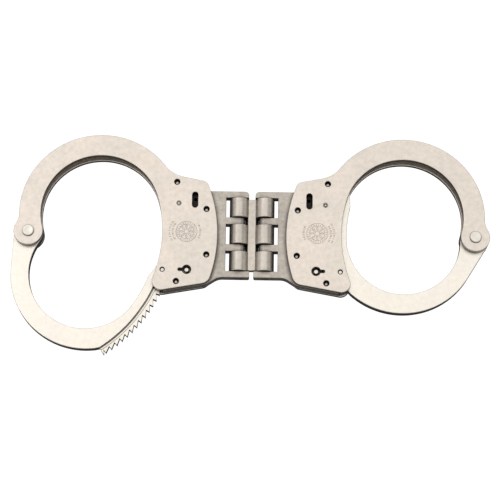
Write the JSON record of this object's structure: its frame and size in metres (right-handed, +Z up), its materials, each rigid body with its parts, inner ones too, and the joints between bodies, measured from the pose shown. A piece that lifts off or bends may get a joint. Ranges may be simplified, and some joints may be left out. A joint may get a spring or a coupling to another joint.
{
  "type": "hinged handcuffs",
  "caption": "Hinged double-lock handcuffs in satin nickel: riveted lock bodies, toothed swing-through jaws and a barrel hinge link between the cuffs.",
  "frame": {"origin": "centre of the footprint, on the surface that the pair lies on", "axes": "+X along the pair from the left cuff to the right cuff, +Y across it towards the side of the fixed bows, +Z up out of the key side"},
  "size_m": [0.21, 0.0986, 0.0113],
  "materials": {
    "satin_nickel": "warm satin nickel plate with a fine brushed grain and brighter worn edges",
    "hinge_nickel": "darker bead-blasted nickel",
    "link_nickel": "satin nickel, turned",
    "rivet_nickel": "satin nickel, turned",
    "lock_steel": "dark oiled steel",
    "spring_steel": "blued spring steel strip"
  },
  "bodies": {
    "link": {"hinge_link": "link_nickel", "left_hinge_pin": "rivet_nickel", "right_hinge_pin": "rivet_nickel"},
    "left_cuff": {"left_upper_cheek": "satin_nickel", "left_lower_cheek": "satin_nickel", "left_hinge_frame": "hinge_nickel", "left_pivot_rivet": "rivet_nickel", "left_body_rivet_1": "rivet_nickel", "left_body_rivet_2": "rivet_nickel", "left_body_rivet_3": "rivet_nickel", "left_body_rivet_4": "rivet_nickel", "left_guide_stud": "rivet_nickel", "left_lock_bar_pin": "rivet_nickel", "left_lock_spring": "spring_steel", "left_key_post": "rivet_nickel"},
    "left_jaw_body": {"left_jaw": "satin_nickel"},
    "left_lock_bar_body": {"left_lock_bar": "lock_steel"},
    "left_double_lock_slide_body": {"left_double_lock_slide": "lock_steel"},
    "right_cuff": {"right_upper_cheek": "satin_nickel", "right_lower_cheek": "satin_nickel", "right_hinge_frame": "hinge_nickel", "right_pivot_rivet": "rivet_nickel", "right_body_rivet_1": "rivet_nickel", "right_body_rivet_2": "rivet_nickel", "right_body_rivet_3": "rivet_nickel", "right_body_rivet_4": "rivet_nickel", "right_guide_stud": "rivet_nickel", "right_lock_bar_pin": "rivet_nickel", "right_lock_spring": "spring_steel", "right_key_post": "rivet_nickel"},
    "right_jaw_body": {"right_jaw": "satin_nickel"},
    "right_lock_bar_body": {"right_lock_bar": "lock_steel"},
    "right_double_lock_slide_body": {"right_double_lock_slide": "lock_steel"}
  },
  "joints": [
    {"name": "left_hinge", "type": "hinge", "parent": "link", "child": "left_cuff", "pos_m": [-0.00528, 0.00519, 0.0052], "axis": [0, 1, 0], "range_deg": [-88, 88]},
    {"name": "left_jaw_swing", "type": "hinge", "parent": "left_cuff", "child": "left_jaw_body", "pos_m": [-0.09783, 0.00479, 0.0052], "axis": [0, 0, -1], "continuous": true},
    {"name": "left_lock_bar_tilt", "type": "hinge", "parent": "left_cuff", "child": "left_lock_bar_body", "pos_m": [-0.03193, 0.01829, 0.0052], "axis": [0, 0, -1], "range_deg": [0, 6]},
    {"name": "left_double_lock_travel", "type": "slide", "parent": "left_cuff", "child": "left_double_lock_slide_body", "axis": [0, -1, 0], "range_m": [0, 0.0025]},
    {"name": "right_hinge", "type": "hinge", "parent": "link", "child": "right_cuff", "pos_m": [0.00602, 0.00519, 0.0052], "axis": [0, -1, 0], "range_deg": [-88, 88]},
    {"name": "right_jaw_swing", "type": "hinge", "parent": "right_cuff", "child": "right_jaw_body", "pos_m": [0.09857, 0.00479, 0.0052], "axis": [0, 0, 1], "continuous": true},
    {"name": "right_lock_bar_tilt", "type": "hinge", "parent": "right_cuff", "child": "right_lock_bar_body", "pos_m": [0.03267, 0.01829, 0.0052], "axis": [0, 0, 1], "range_deg": [0, 6]},
    {"name": "right_double_lock_travel", "type": "slide", "parent": "right_cuff", "child": "right_double_lock_slide_body", "axis": [0, -1, 0], "range_m": [0, 0.0025]}
  ]
}
